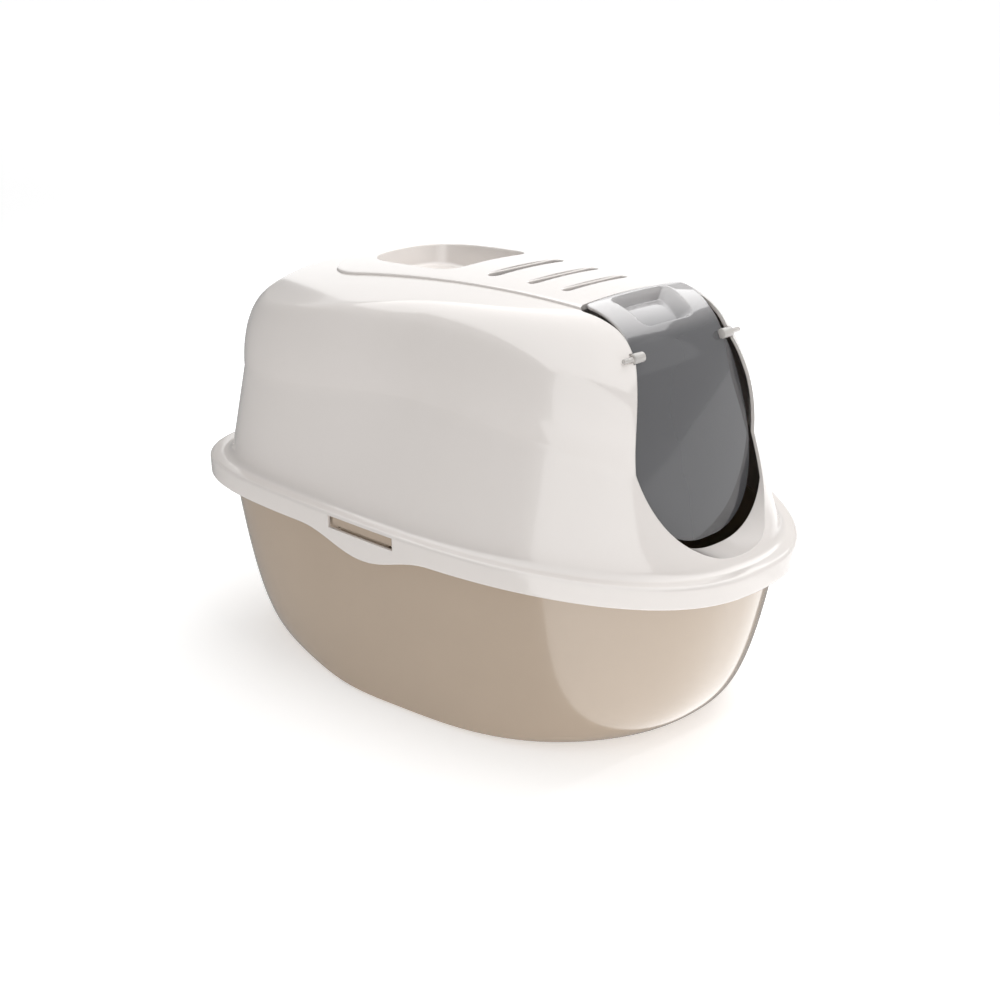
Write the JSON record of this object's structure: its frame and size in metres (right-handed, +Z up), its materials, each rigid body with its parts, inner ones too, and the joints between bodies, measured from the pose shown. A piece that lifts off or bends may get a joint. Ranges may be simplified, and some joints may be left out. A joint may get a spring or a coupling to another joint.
{
  "type": "cat litter box with hood",
  "caption": "Hooded cat litter box: egg-shaped tub, lift-off hood with a two-way swing door, side latches, vent slots, a hand recess and a drop-down charcoal filter tray.",
  "frame": {"origin": "on the floor, under the middle of the box's bounding box", "axes": "+X across the box, -Y towards the door, +Z up"},
  "size_m": [0.4094, 0.54, 0.3696],
  "materials": {
    "hood_plastic": "gloss",
    "tub_plastic": "satin",
    "smoked_plastic": "translucent gloss",
    "clear_plastic": "clear",
    "foot_plastic": "matte",
    "pin_steel": "drawn",
    "charcoal_foam": "matte"
  },
  "bodies": {
    "tub": {"base_pan": "tub_plastic", "foot_front_left": "foot_plastic", "foot_front_right": "foot_plastic", "foot_rear_left": "foot_plastic", "foot_rear_right": "foot_plastic", "latch_pin_left": "pin_steel", "latch_pin_right": "pin_steel"},
    "hood": {"hood_shell": "hood_plastic"},
    "door": {"swing_door": "smoked_plastic", "door_pivot_left": "clear_plastic", "door_pivot_right": "clear_plastic"},
    "latch_left": {"latch_left": "tub_plastic"},
    "latch_right": {"latch_right": "tub_plastic"},
    "filter": {"filter_tray": "hood_plastic", "filter_pad": "charcoal_foam"}
  },
  "joints": [
    {"name": "hood_lift", "type": "slide", "parent": "tub", "child": "hood", "axis": [0, 0, 1], "range_m": [0, 0.25]},
    {"name": "door_swing", "type": "hinge", "parent": "hood", "child": "door", "pos_m": [0, -0.1785, 0.337], "axis": [1, 0, 0], "range_deg": [-60, 75]},
    {"name": "latch_left_press", "type": "hinge", "parent": "tub", "child": "latch_left", "pos_m": [-0.17682, 0.00424, 0.1549], "axis": [-0.161, 0.987, 0], "range_deg": [0, 7], "stiffness_Nm_per_rad": 0.3, "springref_deg": -5.73},
    {"name": "latch_right_press", "type": "hinge", "parent": "tub", "child": "latch_right", "pos_m": [0.17682, 0.00424, 0.1549], "axis": [-0.161, -0.987, 0], "range_deg": [0, 7], "stiffness_Nm_per_rad": 0.3, "springref_deg": -5.73},
    {"name": "filter_drop", "type": "hinge", "parent": "hood", "child": "filter", "pos_m": [0, 0.0211, 0.34978], "axis": [1, 0, 0], "range_deg": [0, 75]}
  ]
}
